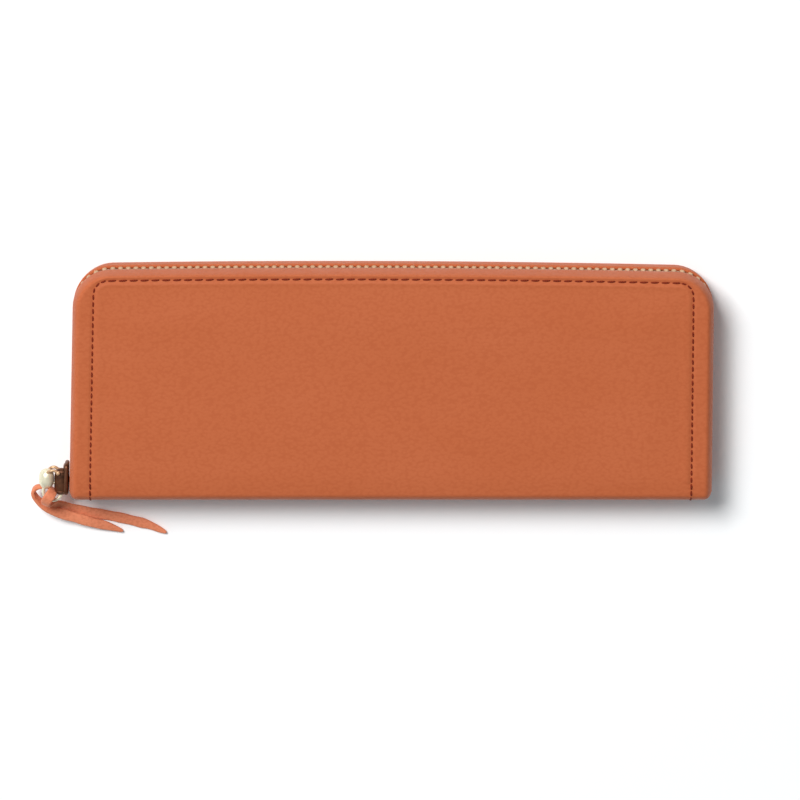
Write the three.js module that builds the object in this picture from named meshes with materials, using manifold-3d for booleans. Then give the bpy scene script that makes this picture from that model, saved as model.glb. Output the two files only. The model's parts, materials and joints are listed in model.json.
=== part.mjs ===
// Zip around wallet, closed, lying on its back cover. Millimetres, +Z up.
// X runs along the length, Y from the folded spine to the long run of the zip.
// The origin is the centre of the flat face that the back cover rests on.
import * as THREE from "three";
import { mergeVertices } from "three/addons/utils/BufferGeometryUtils.js";
import Module from "manifold-3d";

const wasm = await Module();
wasm.setup();

// Driving dimensions of the closed wallet
const LENGTH = 208;
const HEIGHT = 76.5;
const THICKNESS = 23;
const CORNER = 12; // outer corners beside the long zip run
const FOOT = 2.5; // corners at the ends of the spine
const LEAN = 2.2; // how far the left end leans in towards the zip run
const GAP = 0.3; // between pieces that touch

// Leather covers
const LEATHER = 1.5;
const SIDE_ROLL = 4.5;
const TOP_ROLL = 2.6;
const SPINE_ROLL = 6;
const ZIP_GAP = 6.6; // between the two leather edges
const SPINE_BAND = 2.6; // how far the spine leather runs up the two ends
const SEAM_SIDE = 7;
const SEAM_TOP = 3.4;
const SEAM_WIDTH = 1.2;
const SEAM_DEPTH = 0.6;

// Zip around the three open sides
const TAPE_OUT = 1.9; // insets from the leather edge
const TAPE_IN = 2.5;
const TAPE_DEEP = 5.4; // distances from the middle plane
const TAPE_NEAR = 2.9;
const BEAD_DEEP = 2.8;
const BEAD_NEAR = 1.9;
const BEAD_OUT = 1.3;
const BEAD_IN = 3.1;
const TOOTH_OUT = 0.9;
const TOOTH_IN = 3.5;
const TOOTH_HEAD = 0.6;
const TOOTH_ROOT = 0.3; // how far each tooth runs into the bead
const TOOTH_LONG = 1.6;
const TOOTH_PITCH = 3;
const STOP_LONG = 1.2;
const END_STOP_LONG = 2.6;
const BACK_START = -35.2; // where the back row starts on the left
const BACK_TAPE_START = -32.8; // its tape ends above the rounded spine corner
const FRONT_START = -25; // the front row starts clear of the slider
const RIGHT_START = -30.6; // where both rows end on the right

// Slider on the left edge, pull ring and thong
const WING = 1.4;
const WING_CORNER = 1.5;
const WING_TAIL = 3.8; // half its depth at the narrow end
const WING_CLEAR = 0.4; // between the outer wing and the leather
const WING_HALF = 4.2; // half its depth at the shoulders
const WING_LOW = -36.9;
const WING_HIGH = -26.4;
const INNER_WING_LOW = -35.6;
const INNER_WING_INSET = 3.8;
const RIM = 0.8;
const NECK_LOW = -35.1;
const NECK_HALF = 0.45;
const NECK_LONG = 3.7;
const PIVOT = new THREE.Vector2(-107.8, -29.8);
const LUG_HALF = 0.9;
const LUG_RADIUS = 1.7;
const CHEEK_RADIUS = 1.6;
const CHEEK = 1.2;
const PIN_RADIUS = 0.6;
const PIN_CLEAR = 0.35;
const PULL_HALF = 2.5;
const KNOB = { left: -113.9, right: -110, foot: -34.2, head: -28.6 };
const RING = new THREE.Vector3(-109.6, -36.4, THICKNESS / 2);
const RING_RADIUS = 3;
const WIRE = 0.55;
const THONG_WIDTH = 3;
const THONG_THICK = 1.1;
const THONG_STEPS = 66;

// Inside: boards, linings, card tiers and the coin pocket
const INSIDE_X = 97;
const INSIDE_LOW = -31.5;
const INSIDE_TOP = 33;
const INSIDE_CORNER = 6;
const BOARD = { low: 1.7, high: 2.3 };
const LINING = { low: 2.5, high: 2.8 };
const TIER_LOW = 2.95;
const TIER = 0.35;
const TIER_STEP = 0.5;
const TIER_TOPS = [25, 15, 5];
const COIN_HALF = 2.6;
const COIN_WALL = 0.4;
const COIN_X = 96;
const COIN_LOW = -33;
const COIN_TOP = 20;
const COIN_TAPE_TOP = 26.5;
const COIN_PITCH = 4;
const COIN_TOOTH = 1.2;
const COIN_GUSSET = 0.4;
const COIN_SLIDER = { left: -93, right: -84, low: 25.9, plate: 29, high: 30.2, half: 3.5 };
const COIN_PIVOT = new THREE.Vector2(-82.6, 31.2);
const COIN_LUG_RADIUS = 1.1;
const COIN_HOLE_RADIUS = 0.6;
const COIN_PULL = {
  half: 1.6,
  cheek: 0.6,
  cheekRadius: 0.7,
  pinRadius: 0.35,
  start: 1.6,
  end: 12,
  tabHalf: 0.6,
};
const GUSSET_TOP = 18;
const GUSSET_FOLD = 5;
const GUSSET_THICK = 0.3;

const MID = THICKNESS / 2;
const HALF_X = LENGTH / 2;
const HALF_Y = HEIGHT / 2;
const CORNER_X = HALF_X - CORNER;
const CORNER_Y = HALF_Y - CORNER;
const CORNER_STEPS = 7;

const FINISH = {
  leather: { color: 0xc06945, roughness: 0.55, metalness: 0 },
  lining: { color: 0xb98a63, roughness: 0.85, metalness: 0 },
  board: { color: 0xcdbb9c, roughness: 0.9, metalness: 0 },
  thread: { color: 0x8a3512, roughness: 0.7, metalness: 0 },
  tape: { color: 0xd99070, roughness: 0.85, metalness: 0 },
  brass: { color: 0xc9a86a, roughness: 0.35, metalness: 1 },
  bronze: { color: 0x5a3a22, roughness: 0.4, metalness: 1 },
  gold: { color: 0xe9d9ae, roughness: 0.3, metalness: 1 },
};

const wallet = new THREE.Group();

// Geometry and solids ---------------------------------------------------------

function solidOf(geometry) {
  const bare = new THREE.BufferGeometry();
  const loose = geometry.index ? geometry.toNonIndexed() : geometry;
  bare.setAttribute("position", loose.getAttribute("position"));
  const merged = mergeVertices(bare, 1e-4);
  const vertProperties = new Float32Array(merged.attributes.position.array);
  const triVerts = new Uint32Array(merged.index.array);
  const solid = new wasm.Manifold(new wasm.Mesh({ numProp: 3, vertProperties, triVerts }));
  if (solid.volume() >= 0) return solid;
  triVerts.reverse();
  return new wasm.Manifold(new wasm.Mesh({ numProp: 3, vertProperties, triVerts }));
}

function geometryOf(solid) {
  const { vertProperties, triVerts } = solid.getMesh();
  const geometry = new THREE.BufferGeometry();
  geometry.setAttribute("position", new THREE.BufferAttribute(new Float32Array(vertProperties), 3));
  geometry.setIndex(new THREE.BufferAttribute(new Uint32Array(triVerts), 1));
  return geometry;
}

function joined(solids) {
  return solids.reduce((all, solid) => all.add(solid));
}

// The left end leans: x moves in with height above the spine, most at the left end.
function leaned(geometry) {
  const position = geometry.getAttribute("position");
  for (let i = 0; i < position.count; i += 1) {
    const x = position.getX(i);
    const rise = (position.getY(i) + HALF_Y) / HEIGHT;
    position.setX(i, x + (LEAN * rise * (HALF_X - x)) / LENGTH);
  }
  return geometry;
}

function meshOf(name, solid, finish) {
  const geometry = leaned(geometryOf(solid));
  const mesh = new THREE.Mesh(geometry, new THREE.MeshStandardMaterial(FINISH[finish]));
  mesh.name = name;
  wallet.add(mesh);
  return mesh;
}

// The same piece on the other cover: mirrored in the middle plane.
function mirrored(name, solid, finish) {
  const mesh = meshOf(name, solid, finish);
  mesh.scale.z = -1;
  mesh.position.z = THICKNESS;
}

// A closed solid through rings of points, each ring a convex outline.
function loft(rings) {
  const count = rings[0].length;
  const corners = [];
  const face = (...points) => corners.push(...points.flatMap((p) => p.toArray()));
  rings.slice(1).forEach((ring, r) => {
    const last = rings[r];
    for (let i = 0; i < count; i += 1) {
      const j = (i + 1) % count;
      face(last[i], last[j], ring[j]);
      face(last[i], ring[j], ring[i]);
    }
  });
  const first = rings[0];
  const end = rings.at(-1);
  for (let i = 1; i < count - 1; i += 1) {
    face(first[0], first[i + 1], first[i]);
    face(end[0], end[i], end[i + 1]);
  }
  const geometry = new THREE.BufferGeometry();
  geometry.setAttribute("position", new THREE.Float32BufferAttribute(corners, 3));
  return solidOf(geometry);
}

function box(x0, x1, y0, y1, z0, z1) {
  const geometry = new THREE.BoxGeometry(x1 - x0, y1 - y0, z1 - z0);
  geometry.translate((x0 + x1) / 2, (y0 + y1) / 2, (z0 + z1) / 2);
  return solidOf(geometry);
}

function plate(shape, z0, z1) {
  const geometry = new THREE.ExtrudeGeometry(shape, {
    depth: z1 - z0,
    bevelEnabled: false,
    curveSegments: 5,
  });
  geometry.translate(0, 0, z0);
  return solidOf(geometry);
}

function roundedSheet(halfX, y0, y1, radius) {
  const shape = new THREE.Shape();
  shape.moveTo(-halfX, y0);
  shape.lineTo(halfX, y0);
  shape.lineTo(halfX, y1 - radius);
  shape.absarc(halfX - radius, y1 - radius, radius, 0, Math.PI / 2);
  shape.lineTo(-halfX + radius, y1);
  shape.absarc(-halfX + radius, y1 - radius, radius, Math.PI / 2, Math.PI);
  shape.closePath();
  return shape;
}

// An outline in the YZ plane, pushed along X.
function sidePlate(shape, x0, x1) {
  const geometry = new THREE.ExtrudeGeometry(shape, {
    depth: x1 - x0,
    bevelEnabled: false,
    curveSegments: 6,
  });
  geometry.rotateX(Math.PI / 2);
  geometry.rotateZ(Math.PI / 2);
  geometry.translate(x0, 0, 0);
  return solidOf(geometry);
}

// Stations on the U that the zip follows: an anchor and the way out of the wallet.
function stations(leftStart, rightStart) {
  const list = [{ x: -CORNER_X, y: leftStart, out: new THREE.Vector2(-1, 0) }];
  for (const side of [-1, 1]) {
    for (let k = 0; k <= CORNER_STEPS; k += 1) {
      const turn = (k / CORNER_STEPS) * (Math.PI / 2);
      const angle = side < 0 ? Math.PI - turn : Math.PI / 2 - turn;
      const out = new THREE.Vector2(Math.cos(angle), Math.sin(angle));
      list.push({ x: side * CORNER_X, y: CORNER_Y, out });
    }
  }
  list.push({ x: CORNER_X, y: rightStart, out: new THREE.Vector2(1, 0) });
  return list;
}

function onU({ x, y, out }, sideInset, topInset, z) {
  const px = x + out.x * (CORNER - sideInset);
  const py = y + out.y * (CORNER - topInset);
  return new THREE.Vector3(px, py, z);
}

// A strip that follows the U between two insets and two heights.
function uBand(outer, inner, z0, z1, leftStart, rightStart) {
  const ring = (station) => [
    onU(station, outer.side, outer.top, z0),
    onU(station, outer.side, outer.top, z1),
    onU(station, inner.side, inner.top, z1),
    onU(station, inner.side, inner.top, z0),
  ];
  return loft(stations(leftStart, rightStart).map(ring));
}

const inset = (side, top = side) => ({ side, top });

// Covers ----------------------------------------------------------------------

function rolled(depth, rise, height) {
  const part = Math.min(Math.max(rise / height, 0), 1);
  return depth * (1 - Math.sqrt(1 - part * part));
}

// The outline of one cover at a height above the middle plane, a skin inside the outer face.
function coverRing(rise, skin) {
  const edge = ZIP_GAP / 2;
  const sideInset = skin + rolled(SIDE_ROLL - skin / 2, rise - edge, MID - edge - skin);
  const topInset = skin + rolled(TOP_ROLL - skin / 3, rise - edge, MID - edge - skin);
  const spineInset = skin + rolled(SPINE_ROLL - skin / 2, rise, MID - skin);
  const ring = stations(0, 0)
    .slice(1, -1)
    .map((station) => onU(station, sideInset, topInset, MID + rise));
  for (const side of [1, -1]) {
    const steps = [0, 1, 2].map((k) => (k * Math.PI) / 4);
    const turns = side > 0 ? steps : steps.reverse();
    for (const turn of turns) {
      const x = side * (HALF_X - sideInset - FOOT * (1 - Math.cos(turn)));
      const y = spineInset - HALF_Y + FOOT * (1 - Math.sin(turn));
      ring.push(new THREE.Vector3(x, y, MID + rise));
    }
  }
  return ring;
}

function seamBand(z0, z1, half) {
  const outer = inset(SEAM_SIDE - half, SEAM_TOP - half);
  const inner = inset(SEAM_SIDE + half, SEAM_TOP + half);
  return uBand(outer, inner, z0, z1, -HALF_Y + SPINE_ROLL + 0.6, -HALF_Y + SPINE_ROLL + 0.6);
}

// The front cover: leather over the face, the rolled edges and half of the spine.
function frontCover() {
  const shares = [0, 0.35, 0.6, 0.8, 0.93, 1];
  const rises = (top) => [ZIP_GAP / 2, ...shares.slice(1).map((s) => ZIP_GAP / 2 + s * (top - ZIP_GAP / 2))];
  const outer = loft([GAP / 2, ...rises(MID)].map((rise) => coverRing(rise, 0)));
  const inner = loft([-1, ...rises(MID - LEATHER)].map((rise) => coverRing(rise, LEATHER)));
  const mouth = box(-LENGTH, LENGTH, SPINE_BAND - HALF_Y, HEIGHT, MID - 2, MID + ZIP_GAP / 2);
  const groove = seamBand(THICKNESS - SEAM_DEPTH, THICKNESS + 1, SEAM_WIDTH / 2);
  return outer.subtract(inner).subtract(mouth).subtract(groove);
}

function covers() {
  const cover = frontCover();
  meshOf("front_cover", cover, "leather");
  mirrored("back_cover", cover, "leather");
  const threadHalf = SEAM_WIDTH / 2 - GAP;
  const thread = seamBand(THICKNESS - SEAM_DEPTH + 0.1, THICKNESS - 0.1, threadHalf);
  const trimmed = thread.subtract(box(-LENGTH, LENGTH, -HEIGHT, -HALF_Y + SPINE_ROLL + 0.9, 0, THICKNESS));
  meshOf("front_seam_thread", trimmed, "thread");
  mirrored("back_seam_thread", trimmed, "thread");
}

// Stiffener, lining and card tiers, on the front cover and mirrored on the back one.
function coverContents() {
  const sheet = (low, high, top, radius) =>
    plate(roundedSheet(INSIDE_X, INSIDE_LOW, top, radius), THICKNESS - high, THICKNESS - low);
  const pair = (name, solid, finish) => {
    meshOf(`front_${name}`, solid, finish);
    mirrored(`back_${name}`, solid, finish);
  };
  pair("board", sheet(BOARD.low, BOARD.high, INSIDE_TOP, INSIDE_CORNER), "board");
  pair("lining", sheet(LINING.low, LINING.high, INSIDE_TOP, INSIDE_CORNER), "lining");
  TIER_TOPS.forEach((top, k) => {
    const low = TIER_LOW + k * TIER_STEP;
    pair(`card_tier_${k + 1}`, sheet(low, low + TIER, top, 2), "leather");
  });
}

// Main zip --------------------------------------------------------------------

function tooth(station) {
  const root = BEAD_NEAR + TOOTH_ROOT;
  const geometry = new THREE.BoxGeometry(TOOTH_IN - TOOTH_OUT, TOOTH_LONG, root - TOOTH_HEAD);
  geometry.rotateZ(Math.atan2(station.out.y, station.out.x));
  const middle = (TOOTH_OUT + TOOTH_IN) / 2;
  const at = onU(station, middle, middle, MID + (root + TOOTH_HEAD) / 2);
  geometry.translate(at.x, at.y, at.z);
  return solidOf(geometry);
}

// Places along the U, one tooth pitch apart.
function toothStations(leftStart, rightStart) {
  const radius = CORNER - (TOOTH_OUT + TOOTH_IN) / 2;
  const left = CORNER_Y - leftStart;
  const bend = (radius * Math.PI) / 2;
  const top = 2 * CORNER_X;
  const right = CORNER_Y - rightStart;
  const total = left + bend + top + bend + right;
  const list = [];
  for (let s = TOOTH_LONG / 2; s < total - TOOTH_LONG / 2; s += TOOTH_PITCH) {
    if (s < left) list.push({ x: -CORNER_X, y: leftStart + s, out: new THREE.Vector2(-1, 0) });
    else if (s < left + bend) list.push(turned(-CORNER_X, Math.PI - (s - left) / radius));
    else if (s < left + bend + top) {
      const x = s - left - bend - CORNER_X;
      list.push({ x, y: CORNER_Y, out: new THREE.Vector2(0, 1) });
    } else if (s < left + top + 2 * bend) {
      list.push(turned(CORNER_X, Math.PI / 2 - (s - left - bend - top) / radius));
    } else {
      const y = CORNER_Y - (s - left - top - 2 * bend);
      list.push({ x: CORNER_X, y, out: new THREE.Vector2(1, 0) });
    }
  }
  return list;
}

function turned(x, angle) {
  return { x, y: CORNER_Y, out: new THREE.Vector2(Math.cos(angle), Math.sin(angle)) };
}

function zipRow(leftStart) {
  const start = leftStart + STOP_LONG + GAP;
  const bead = uBand(inset(BEAD_OUT), inset(BEAD_IN), MID + BEAD_NEAR, MID + BEAD_DEEP, start, RIGHT_START);
  return joined([bead, ...toothStations(start, RIGHT_START).map(tooth)]);
}

function zipTape(leftStart) {
  const [near, deep] = [MID + TAPE_NEAR, MID + TAPE_DEEP];
  return uBand(inset(TAPE_OUT), inset(TAPE_IN), near, deep, leftStart, RIGHT_START);
}

function topStop(start) {
  const [x0, x1] = [-HALF_X + TOOTH_OUT, -HALF_X + TOOTH_IN];
  return box(x0, x1, start, start + STOP_LONG, MID + TOOTH_HEAD, MID + BEAD_DEEP);
}

function mainZip() {
  meshOf("zip_tape_front", zipTape(FRONT_START), "tape");
  mirrored("zip_tape_back", zipTape(BACK_TAPE_START), "tape");
  meshOf("zip_teeth_front", zipRow(FRONT_START), "brass");
  mirrored("zip_teeth_back", zipRow(BACK_START), "brass");
  meshOf("zip_top_stop_front", topStop(FRONT_START), "brass");
  mirrored("zip_top_stop_back", topStop(BACK_START), "brass");
  const high = RIGHT_START - STOP_LONG;
  const low = high - END_STOP_LONG;
  const stop = box(HALF_X - TOOTH_IN, HALF_X - TOOTH_OUT, low, high, MID - BEAD_DEEP, MID + BEAD_DEEP);
  meshOf("zip_bottom_stop", stop, "brass");
}

// Slider, puller and thong ----------------------------------------------------

// A slider wing seen from the side: broad at the shoulders, narrower at the tail.
function wingShape(low, high) {
  const shoulderX = low + WING_CORNER;
  const tailX = high - 1;
  const shoulder = WING_HALF - WING_CORNER;
  const tail = WING_TAIL - 1;
  const shape = new THREE.Shape();
  shape.moveTo(shoulderX, MID - WING_HALF);
  shape.lineTo(tailX, MID - WING_TAIL);
  shape.quadraticCurveTo(high, MID - WING_TAIL, high, MID - tail);
  shape.lineTo(high, MID + tail);
  shape.quadraticCurveTo(high, MID + WING_TAIL, tailX, MID + WING_TAIL);
  shape.lineTo(shoulderX, MID + WING_HALF);
  shape.quadraticCurveTo(low, MID + WING_HALF, low, MID + shoulder);
  shape.lineTo(low, MID - shoulder);
  shape.quadraticCurveTo(low, MID - WING_HALF, shoulderX, MID - WING_HALF);
  return shape;
}

// A flat bar with a round end about the pivot, reaching out to x.
function barShape(pivot, radius, x) {
  const shape = new THREE.Shape();
  const towards = Math.sign(x - pivot.x);
  shape.moveTo(x, pivot.y - radius);
  shape.lineTo(pivot.x, pivot.y - radius);
  shape.absarc(pivot.x, pivot.y, radius, -Math.PI / 2, Math.PI / 2, towards > 0);
  shape.lineTo(x, pivot.y + radius);
  shape.closePath();
  return shape;
}

function pin(pivot, radius, z0, z1) {
  const geometry = new THREE.CylinderGeometry(radius, radius, z1 - z0, 14);
  geometry.rotateX(Math.PI / 2);
  geometry.translate(pivot.x, pivot.y, (z0 + z1) / 2);
  return solidOf(geometry);
}

function sliderBody() {
  const outer = -HALF_X - WING_CLEAR;
  const inner = -HALF_X + INNER_WING_INSET;
  const outerWing = sidePlate(wingShape(WING_LOW, WING_HIGH), outer - WING, outer);
  const innerWing = sidePlate(wingShape(INNER_WING_LOW, WING_HIGH), inner, inner + WING);
  const [low, high] = [MID - NECK_HALF, MID + NECK_HALF];
  const neck = box(outer - 0.2, inner + 0.2, NECK_LOW, NECK_LOW + NECK_LONG, low, high);
  const channel = sidePlate(wingShape(INNER_WING_LOW, WING_HIGH), inner - 1, inner + 0.2);
  const hollow = box(inner - 2, inner + 0.1, -HEIGHT, 0, MID - WING_HALF + RIM, MID + WING_HALF - RIM);
  const rims = channel.subtract(hollow);
  const lug = plate(barShape(PIVOT, LUG_RADIUS, outer - WING + 0.3), MID - LUG_HALF, MID + LUG_HALF);
  const hole = pin(PIVOT, PIN_RADIUS + PIN_CLEAR, 0, THICKNESS);
  return joined([outerWing, innerWing, neck, rims, lug]).subtract(hole);
}

// The cast pull: a fork round the slider's lug, a knob and the ring for the thong.
function puller() {
  const [low, high] = [MID - PULL_HALF, MID + PULL_HALF];
  const knob = new THREE.Shape();
  const { left, right, foot, head } = KNOB;
  knob.moveTo(left + 1, foot);
  knob.lineTo(right, foot);
  knob.lineTo(right, head);
  knob.lineTo(left + 1, head);
  knob.quadraticCurveTo(left, head, left, head - 1);
  knob.lineTo(left, foot + 1);
  knob.quadraticCurveTo(left, foot, left + 1, foot);
  const cheek = barShape(PIVOT, CHEEK_RADIUS, right - 0.5);
  const ring = new THREE.TorusGeometry(RING_RADIUS, WIRE, 8, 28);
  ring.translate(RING.x, RING.y, RING.z);
  return joined([
    pin(PIVOT, PIN_RADIUS, low, high),
    plate(knob, low, high),
    plate(cheek, low, low + CHEEK),
    plate(cheek, high - CHEEK, high),
    solidOf(ring),
  ]);
}

// The thong: one leather lace folded over the ring, both tails lying towards +X.
// Each row is a point of its middle line and the direction of its width.
const THONG = [
  [-72.8, -53, 0.95, 0.4, 0.9, 0],
  [-78.3, -50.6, 0.95, 0.35, 0.93, 0],
  [-83.3, -49.2, 0.95, 0.25, 0.95, 0],
  [-89.2, -47.7, 0.95, 0.25, 0.95, 0],
  [-97.8, -45.9, 0.95, 0.2, 0.95, 0.1],
  [-102.8, -44.5, 1.6, 0.25, 0.85, 0.4],
  [-107, -42.6, 3.7, 0.3, 0.6, 0.75],
  [-110.4, -41.6, 7.3, 0.6, 0.35, 0.6],
  [-112.1, -41.2, 10.8, 0.8, -0.4, 0.3],
  [-111.7, -39.4, 13.4, 0.8, -0.6, 0],
  [-110.4, -37.5, 14.1, 0.8, -0.6, 0],
  [-109.6, -36.2, 12.4, 0.8, -0.6, 0],
  [-109.8, -36.1, 9.4, 0.8, -0.6, 0],
  [-111.3, -35.9, 7.6, 0.5, -0.3, -0.8],
  [-114.5, -35.9, 6.9, 0, 0, -1],
  [-116.4, -37.9, 6.6, 0, 0, -1],
  [-115.1, -41.1, 5.8, 0, 0.3, -0.9],
  [-111.8, -44.1, 5, 0.3, 0.6, -0.7],
  [-107.4, -46.5, 3.9, 0.35, 0.9, -0.2],
  [-102.8, -47.7, 3, 0.3, 0.95, 0],
  [-96.7, -49.5, 2.1, 0.3, 0.95, 0],
  [-91.6, -50.9, 1.3, 0.35, 0.93, 0],
  [-87.2, -52.6, 0.95, 0.4, 0.9, 0],
];

function thong() {
  const middle = new THREE.CatmullRomCurve3(THONG.map(([x, y, z]) => new THREE.Vector3(x, y, z)));
  const widths = new THREE.CatmullRomCurve3(THONG.map((row) => new THREE.Vector3(...row.slice(3))));
  const rings = [];
  for (let k = 0; k <= THONG_STEPS; k += 1) {
    const t = k / THONG_STEPS;
    const along = middle.getTangent(t);
    const across = widths.getPoint(t);
    across.addScaledVector(along, -across.dot(along)).normalize();
    const up = new THREE.Vector3().crossVectors(along, across);
    const taper = Math.min(1, 0.3 + 10 * Math.min(t, 1 - t));
    across.multiplyScalar((THONG_WIDTH * taper) / 2);
    up.multiplyScalar(THONG_THICK / 2);
    const at = middle.getPoint(t);
    rings.push([
      at.clone().add(across).add(up),
      at.clone().sub(across).add(up),
      at.clone().sub(across).sub(up),
      at.clone().add(across).sub(up),
    ]);
  }
  return loft(rings);
}

// Inside ----------------------------------------------------------------------

function coinPocket() {
  const outline = roundedSheet(COIN_X, COIN_LOW, COIN_TOP, 1);
  const wall = plate(outline, MID + COIN_HALF - COIN_WALL, MID + COIN_HALF);
  meshOf("coin_wall_front", wall, "lining");
  mirrored("coin_wall_back", wall, "lining");
  const half = COIN_HALF - COIN_WALL - 0.1;
  const outerX = COIN_X - COIN_GUSSET;
  const innerX = outerX - COIN_GUSSET;
  const outerLow = COIN_LOW + COIN_GUSSET;
  const outer = box(-outerX, outerX, outerLow, COIN_TOP - 1, MID - half, MID + half);
  const inner = box(-innerX, innerX, outerLow + COIN_GUSSET, COIN_TOP, 0, THICKNESS);
  meshOf("coin_gusset", outer.subtract(inner), "lining");
}

function coinZip() {
  const [low, high] = [MID + COIN_HALF - COIN_WALL + 0.05, MID + COIN_HALF - 0.05];
  const tape = box(-COIN_X, COIN_X, COIN_TOP + GAP, COIN_TAPE_TOP, low, high);
  meshOf("coin_tape_front", tape, "tape");
  mirrored("coin_tape_back", tape, "tape");
  const reach = COIN_X - 2;
  const beadLow = COIN_TAPE_TOP + 0.1;
  const teeth = [box(-reach, reach, beadLow, beadLow + 0.7, low - 0.15, high + 0.15)];
  for (let x = -reach; x <= reach - COIN_TOOTH; x += COIN_PITCH) {
    teeth.push(box(x, x + COIN_TOOTH, beadLow + 0.5, beadLow + 1.9, low - 0.1, high + 0.1));
  }
  const row = joined(teeth);
  meshOf("coin_teeth_front", row, "brass");
  mirrored("coin_teeth_back", row, "brass");
}

function coinSlider() {
  const { left, right, low, plate: top, high, half } = COIN_SLIDER;
  const slot = (z) => box(left - 1, right + 1, low - 1, top, z - 0.6, z + 0.6);
  const rowZ = COIN_HALF - COIN_WALL / 2;
  const body = box(left, right, low, high, MID - half, MID + half);
  const lug = plate(barShape(COIN_PIVOT, COIN_LUG_RADIUS, right - 0.5), MID - 0.6, MID + 0.6);
  const throat = box(left - 1, right - 3, low - 1, top, MID - 1.4, MID + 1.4);
  return joined([body.subtract(slot(MID - rowZ)).subtract(slot(MID + rowZ)).subtract(throat), lug])
    .subtract(pin(COIN_PIVOT, COIN_HOLE_RADIUS, 0, THICKNESS));
}

function coinPull() {
  const { half, cheek, cheekRadius, pinRadius, start, end, tabHalf } = COIN_PULL;
  const [low, high] = [MID - half, MID + half];
  const { x, y } = COIN_PIVOT;
  const fork = barShape(COIN_PIVOT, cheekRadius, x + start + cheek);
  return joined([
    pin(COIN_PIVOT, pinRadius, low, high),
    plate(fork, low, low + cheek),
    plate(fork, high - cheek, high),
    box(x + start, x + end, y - tabHalf, y + tabHalf, low, high),
  ]);
}

// One folded side wall of a bill compartment, its fold pointing inwards.
function sideGusset(side) {
  const near = MID + COIN_HALF + 0.3;
  const far = THICKNESS - TIER_LOW - 2 * TIER_STEP - TIER - 0.2;
  const fold = (x, thick) => [x - GUSSET_FOLD - thick, (near + far) / 2];
  const x = INSIDE_X - 0.2;
  const shape = new THREE.Shape();
  shape.moveTo(x, near);
  shape.lineTo(...fold(x, 0));
  shape.lineTo(x, far);
  shape.lineTo(x - 2 * GUSSET_THICK, far);
  shape.lineTo(...fold(x, 2 * GUSSET_THICK));
  shape.lineTo(x - 2 * GUSSET_THICK, near);
  shape.closePath();
  const geometry = new THREE.ExtrudeGeometry(shape, {
    depth: GUSSET_TOP - INSIDE_LOW - 1,
    bevelEnabled: false,
  });
  geometry.rotateX(Math.PI / 2);
  geometry.scale(side, 1, 1);
  geometry.translate(0, GUSSET_TOP, 0);
  return solidOf(geometry);
}

function gussets() {
  for (const [side, word] of [[-1, "left"], [1, "right"]]) {
    meshOf(`gusset_${word}_front`, sideGusset(side), "lining");
    mirrored(`gusset_${word}_back`, sideGusset(side), "lining");
  }
}

covers();
coverContents();
mainZip();
meshOf("slider_body", sliderBody(), "bronze");
meshOf("puller", puller(), "gold");
meshOf("pull_thong", thong(), "leather");
coinPocket();
coinZip();
meshOf("coin_slider", coinSlider(), "brass");
meshOf("coin_pull", coinPull(), "brass");
gussets();

export default wallet;
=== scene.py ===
"""Zip around wallet in pebbled leather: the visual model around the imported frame. Metres, +Z up.

Shapes are worked out in straight millimetres and settle() brings them into the frame.
"""
import json
import math
import random

import bmesh
import bpy
import numpy as np
from mathutils import Matrix, Vector


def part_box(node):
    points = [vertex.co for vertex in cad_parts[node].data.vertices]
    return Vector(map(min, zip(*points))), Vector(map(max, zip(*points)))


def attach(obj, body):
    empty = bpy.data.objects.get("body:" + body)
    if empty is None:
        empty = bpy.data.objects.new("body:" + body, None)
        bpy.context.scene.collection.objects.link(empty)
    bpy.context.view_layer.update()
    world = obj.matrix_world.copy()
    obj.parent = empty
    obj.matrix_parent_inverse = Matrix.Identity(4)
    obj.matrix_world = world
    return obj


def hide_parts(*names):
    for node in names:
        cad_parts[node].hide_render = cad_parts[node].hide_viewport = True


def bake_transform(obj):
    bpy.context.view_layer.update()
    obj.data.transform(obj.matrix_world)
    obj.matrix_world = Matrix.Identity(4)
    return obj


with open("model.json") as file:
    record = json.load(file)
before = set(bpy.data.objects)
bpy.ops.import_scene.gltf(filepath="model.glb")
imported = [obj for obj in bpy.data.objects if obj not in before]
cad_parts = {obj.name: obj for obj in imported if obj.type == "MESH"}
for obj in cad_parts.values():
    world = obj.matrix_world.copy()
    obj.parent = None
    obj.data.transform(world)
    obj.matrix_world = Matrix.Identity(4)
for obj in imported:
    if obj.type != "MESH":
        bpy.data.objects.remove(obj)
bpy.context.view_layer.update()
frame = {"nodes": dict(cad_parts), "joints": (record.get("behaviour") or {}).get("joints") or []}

MM = 0.001

# --- Driving sizes, in millimetres. The first four and the lean come from the frame ---

HALF_X, HALF_Y, THICK = np.array(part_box("front_cover")[1]) / MM
MID = THICK / 2
JOINTS = {joint["name"]: joint for joint in frame["joints"]}
ZIP_AXIS = JOINTS["zip_travel"]["axis"]
LEAN = 2 * HALF_Y * ZIP_AXIS[0] / ZIP_AXIS[1]
GAP_HALF = 3.0
SIDE_ROLL = 2.8
TOP_ROLL = 1.0
SPINE_ROLL = 3.4
TOP_CORNER = 12.0
LOW_CORNER = 3.0
SPINE_BAND = 2.6
SEAM_X = HALF_X - 7.0
SEAM_Y = HALF_Y - 2.1
SEAM_CORNER = 4.2
BOW = 1.1
BOW_AT = -20.0
DROOP = 1.3
DROOP_LONG = 11.0
DROOP_FROM = MID + 5


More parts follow.
